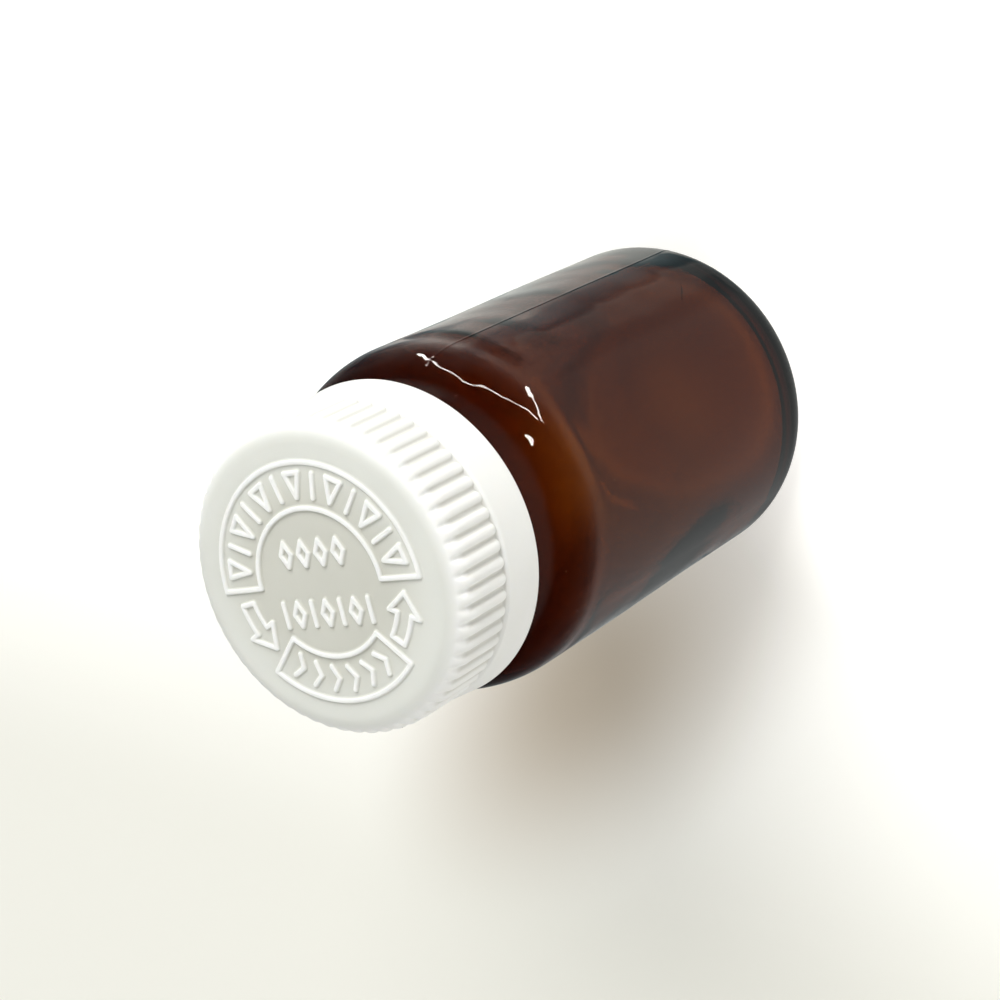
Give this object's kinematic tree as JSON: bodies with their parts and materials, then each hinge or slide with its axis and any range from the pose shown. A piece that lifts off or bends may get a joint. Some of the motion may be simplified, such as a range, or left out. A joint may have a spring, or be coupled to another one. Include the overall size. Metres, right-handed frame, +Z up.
{
  "type": "prescription vial",
  "caption": "Round amber glass medicine vial with a threaded neck, closed by a ribbed white push-and-turn child-resistant cap.",
  "frame": {"origin": "centre of the base, on the plane the vial stands on", "axes": "+Z up along the bottle's axis, towards the cap; +Y is the way up of the raised marks on the cap's face when the cap is closed"},
  "size_m": [0.0494, 0.0494, 0.0934],
  "materials": {
    "amber_glass": "clear glossy amber glass",
    "cap_shell": "satin moulded white polypropylene",
    "cap_inner": "smooth moulded white polypropylene",
    "liner_backing": "compressed pulp board",
    "liner_facing": "smooth sealing film"
  },
  "bodies": {
    "bottle": {"bottle": "amber_glass"},
    "liner": {"liner_facing": "liner_facing", "liner_backing": "liner_backing"},
    "inner_cap": {"inner_cap": "cap_inner"},
    "outer_cap": {"outer_cap": "cap_shell"}
  },
  "joints": [
    {"name": "cap_rise", "type": "slide", "parent": "bottle", "child": "liner", "axis": [0, 0, 1], "range_m": [0, 0.017]},
    {"name": "cap_turn", "type": "hinge", "parent": "liner", "child": "inner_cap", "pos_m": [0, 0, 0.0885], "axis": [0, 0, 1], "range_deg": [0, 1440]},
    {"name": "push_down", "type": "slide", "parent": "inner_cap", "child": "outer_cap", "axis": [0, 0, -1], "range_m": [0, 0.0012], "stiffness_N_per_m": 3000}
  ],
  "couplings": [
    {"joint": "cap_rise", "follows": "cap_turn", "m_per_rad": 0.00067376}
  ]
}
